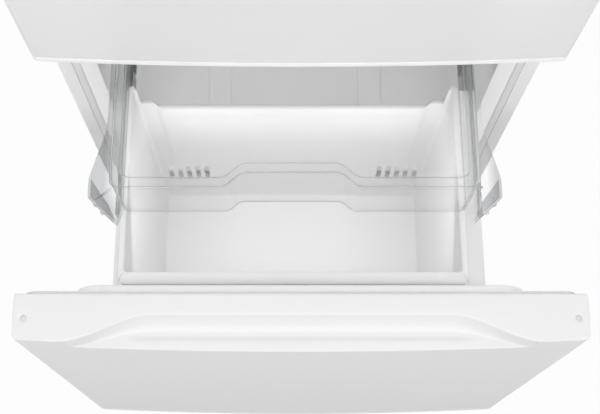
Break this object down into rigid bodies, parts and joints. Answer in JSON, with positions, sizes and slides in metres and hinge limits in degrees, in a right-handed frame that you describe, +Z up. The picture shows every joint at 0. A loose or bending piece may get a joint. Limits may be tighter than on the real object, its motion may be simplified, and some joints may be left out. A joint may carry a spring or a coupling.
{
  "type": "bottom freezer refrigerator",
  "caption": "Free-standing refrigerator with a swinging upper door and a pull-out freezer drawer that holds a deep basket and a clear sliding tray.",
  "frame": {"origin": "centre of the footprint on the floor, taken at rest with the freezer drawer pulled out", "axes": "+X to the right as the front is seen, +Y from the doors towards the back, +Z up"},
  "size_m": [0.756, 1.1626, 1.681],
  "materials": {
    "enamel": "satin",
    "white_plastic": "satin",
    "liner_plastic": "satin",
    "clear_plastic": "gloss",
    "shelf_glass": "gloss",
    "gasket_rubber": "matte",
    "zinc_steel": "satin",
    "coated_steel": "satin",
    "black_plastic": "matte",
    "compressor_paint": "satin",
    "insulation": "matte",
    "tube_copper": "satin",
    "fin_aluminium": "satin",
    "grey_plastic": "satin"
  },
  "bodies": {
    "cabinet": {"cabinet_shell": "enamel", "back_panel": "zinc_steel", "insulation_foam": "insulation", "fridge_liner": "liner_plastic", "freezer_liner": "liner_plastic", "mullion_rail": "coated_steel", "base_frame": "zinc_steel", "toe_grille": "white_plastic", "rear_access_cover": "zinc_steel", "compressor": "compressor_paint", "condenser_coil": "tube_copper", "condenser_fan_motor": "zinc_steel", "drain_pan": "black_plastic", "evaporator_coil": "fin_aluminium", "evaporator_cover": "liner_plastic", "evaporator_fan_motor": "zinc_steel", "air_duct": "liner_plastic", "shelf_upper": "shelf_glass", "shelf_lower": "shelf_glass", "crisper_cover": "shelf_glass", "control_housing": "white_plastic", "light_lens": "clear_plastic", "top_hinge": "zinc_steel", "top_hinge_cover": "white_plastic", "center_hinge": "zinc_steel", "slide_outer_left": "zinc_steel", "slide_outer_right": "zinc_steel"},
    "fridge_door": {"door_skin": "enamel", "door_foam": "insulation", "door_top_cap": "white_plastic", "door_bottom_cap": "white_plastic", "door_liner": "liner_plastic", "door_gasket": "gasket_rubber", "door_handle": "white_plastic", "door_bin_upper": "clear_plastic", "door_bin_lower": "clear_plastic"},
    "freezer_drawer": {"drawer_skin": "enamel", "drawer_top_cap": "white_plastic", "drawer_bottom_cap": "white_plastic", "drawer_foam": "insulation", "drawer_liner": "liner_plastic", "drawer_gasket": "gasket_rubber", "drawer_rail_left": "coated_steel", "drawer_rail_right": "coated_steel", "slide_inner_left": "zinc_steel", "slide_inner_right": "zinc_steel", "lower_basket": "white_plastic"},
    "upper_tray": {"upper_tray": "clear_plastic"},
    "slide_middle_left": {"slide_middle_left": "zinc_steel"},
    "slide_middle_right": {"slide_middle_right": "zinc_steel"},
    "crisper_left": {"crisper_left": "clear_plastic"},
    "crisper_right": {"crisper_right": "clear_plastic"},
    "temperature_knob": {"temperature_knob": "grey_plastic"},
    "door_switch": {"door_switch": "grey_plastic"},
    "condenser_fan": {"condenser_fan_blade": "black_plastic"},
    "evaporator_fan": {"evaporator_fan_blade": "black_plastic"},
    "levelling_leg_left": {"levelling_leg_left": "black_plastic"},
    "levelling_leg_right": {"levelling_leg_right": "black_plastic"},
    "rear_roller_left": {"rear_roller_left": "black_plastic"},
    "rear_roller_right": {"rear_roller_right": "black_plastic"}
  },
  "joints": [
    {"name": "door_swing", "type": "hinge", "parent": "cabinet", "child": "fridge_door", "pos_m": [0.362, -0.14475, 0.75], "axis": [0, 0, 1], "range_deg": [0, 125]},
    {"name": "drawer_close", "type": "slide", "parent": "cabinet", "child": "freezer_drawer", "axis": [0, 1, 0], "range_m": [0, 0.396]},
    {"name": "slide_left_travel", "type": "slide", "parent": "cabinet", "child": "slide_middle_left", "axis": [0, 1, 0], "range_m": [0, 0.198]},
    {"name": "slide_right_travel", "type": "slide", "parent": "cabinet", "child": "slide_middle_right", "axis": [0, 1, 0], "range_m": [0, 0.198]},
    {"name": "tray_slide", "type": "slide", "parent": "freezer_drawer", "child": "upper_tray", "axis": [0, 1, 0], "range_m": [-0.11, 0.05]},
    {"name": "crisper_left_pull", "type": "slide", "parent": "cabinet", "child": "crisper_left", "axis": [0, -1, 0], "range_m": [0, 0.07]},
    {"name": "crisper_right_pull", "type": "slide", "parent": "cabinet", "child": "crisper_right", "axis": [0, -1, 0], "range_m": [0, 0.07]},
    {"name": "knob_turn", "type": "hinge", "parent": "cabinet", "child": "temperature_knob", "pos_m": [0.06, -0.06275, 1.6037], "axis": [0, -1, 0], "range_deg": [0, 270]},
    {"name": "switch_press", "type": "slide", "parent": "cabinet", "child": "door_switch", "axis": [0, 1, 0], "range_m": [0, 0.008], "stiffness_N_per_m": 120, "springref_m": -0.002},
    {"name": "condenser_fan_spin", "type": "hinge", "parent": "cabinet", "child": "condenser_fan", "pos_m": [0.19, 0.41125, 0.14], "axis": [0, 1, 0], "continuous": true},
    {"name": "evaporator_fan_spin", "type": "hinge", "parent": "cabinet", "child": "evaporator_fan", "pos_m": [0, 0.46025, 0.636], "axis": [0, 1, 0], "continuous": true},
    {"name": "leg_left_turn", "type": "hinge", "parent": "cabinet", "child": "levelling_leg_left", "pos_m": [-0.335, -0.06375, 0], "axis": [0, 0, 1], "continuous": true},
    {"name": "leg_right_turn", "type": "hinge", "parent": "cabinet", "child": "levelling_leg_right", "pos_m": [0.335, -0.06375, 0], "axis": [0, 0, 1], "continuous": true},
    {"name": "roller_left_spin", "type": "hinge", "parent": "cabinet", "child": "rear_roller_left", "pos_m": [-0.33, 0.51625, 0.017], "axis": [1, 0, 0], "continuous": true},
    {"name": "roller_right_spin", "type": "hinge", "parent": "cabinet", "child": "rear_roller_right", "pos_m": [0.33, 0.51625, 0.017], "axis": [1, 0, 0], "continuous": true}
  ],
  "couplings": [
    {"joint": "slide_left_travel", "follows": "drawer_close", "ratio": 0.5},
    {"joint": "slide_right_travel", "follows": "drawer_close", "ratio": 0.5}
  ]
}
